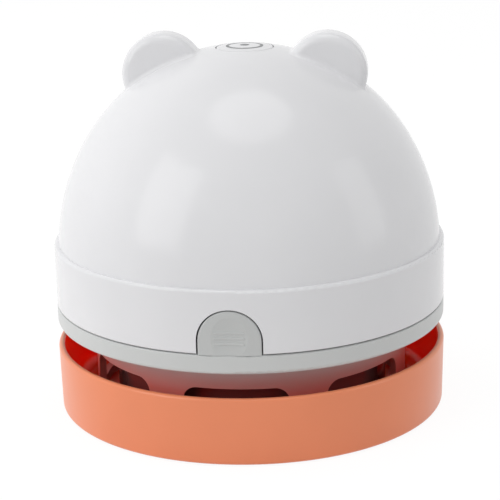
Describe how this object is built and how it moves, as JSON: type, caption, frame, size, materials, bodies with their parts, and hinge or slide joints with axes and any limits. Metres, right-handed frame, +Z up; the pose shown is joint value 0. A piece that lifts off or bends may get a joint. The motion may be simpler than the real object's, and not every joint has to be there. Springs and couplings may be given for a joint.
{
  "type": "desktop mini vacuum cleaner",
  "caption": "Palm-sized domed desk vacuum with round ears, lifting off a slotted collar and open-rimmed dish that holds its dust cup and suction nozzle.",
  "frame": {"origin": "centre of the footprint on the desk, under the foot pads", "axes": "+Z up; the release tab faces -Y; the two ears lie along X; the charging port faces +Y"},
  "size_m": [0.0984, 0.0984, 0.0942],
  "materials": {
    "white_shell": "satin moulded ABS",
    "white_button": "satin moulded ABS",
    "grey_collar": "satin moulded ABS",
    "orange": "satin moulded ABS",
    "smoke": "dark smoked plastic",
    "felt": "pressed felt",
    "bristle": "nylon bristle",
    "filter_cloth": "pleated non-woven cloth",
    "black_plastic": "fine matt moulding",
    "grey_inner": "plain moulding",
    "rubber": "moulded seal",
    "steel": "plated steel",
    "motor_steel": "zinc plated steel",
    "brass": "plain brass",
    "magnet": "sintered ferrite",
    "cell_wrap": "shrink sleeve",
    "board_green": "solder mask"
  },
  "bodies": {
    "base_unit": {"base_dish": "orange", "foot_pads": "felt", "suction_nozzle": "smoke", "brush_strip": "black_plastic", "brush_tufts": "bristle", "dust_cup": "smoke", "base_screws": "steel", "filter_frame": "black_plastic", "filter_media": "filter_cloth", "vent_collar": "grey_collar"},
    "release_tab": {"release_tab": "grey_collar"},
    "motor_unit": {"band_ring": "white_shell", "dome_shell": "white_shell", "switch_carrier": "black_plastic", "tact_switch": "black_plastic", "carrier_screws": "steel", "button_spring": "steel", "motor_deck": "grey_inner", "motor_screws": "steel", "cover_screws": "steel", "fan_cover": "grey_inner", "filter_seal": "rubber", "motor_can": "motor_steel", "motor_end_cap": "black_plastic", "front_bearing": "brass", "rear_bearing": "brass", "motor_terminals": "brass", "motor_magnets": "magnet", "battery_cell": "cell_wrap", "battery_contacts": "steel", "battery_cradle": "black_plastic", "charge_board": "board_green", "board_chips": "black_plastic", "charge_port": "steel"},
    "power_button": {"power_button": "white_button", "switch_plunger": "black_plastic"},
    "rotor": {"impeller": "grey_inner", "motor_shaft": "steel", "armature": "motor_steel"}
  },
  "joints": [
    {"name": "release_tab_bend", "type": "hinge", "parent": "base_unit", "child": "release_tab", "pos_m": [0, -0.0482, 0.0274], "axis": [-1, 0, 0], "range_deg": [0, 6], "stiffness_Nm_per_rad": 0.25, "springref_deg": -8.59},
    {"name": "lift_off", "type": "slide", "parent": "base_unit", "child": "motor_unit", "axis": [0, 0, 1], "range_m": [0, 0.06]},
    {"name": "power_press", "type": "slide", "parent": "motor_unit", "child": "power_button", "axis": [0, 0, -1], "range_m": [0, 0.0012], "stiffness_N_per_m": 600, "springref_m": -0.0015, "deforming": ["button_spring"]},
    {"name": "fan_spin", "type": "hinge", "parent": "motor_unit", "child": "rotor", "pos_m": [0, 0, 0.045], "axis": [0, 0, 1], "continuous": true}
  ]
}
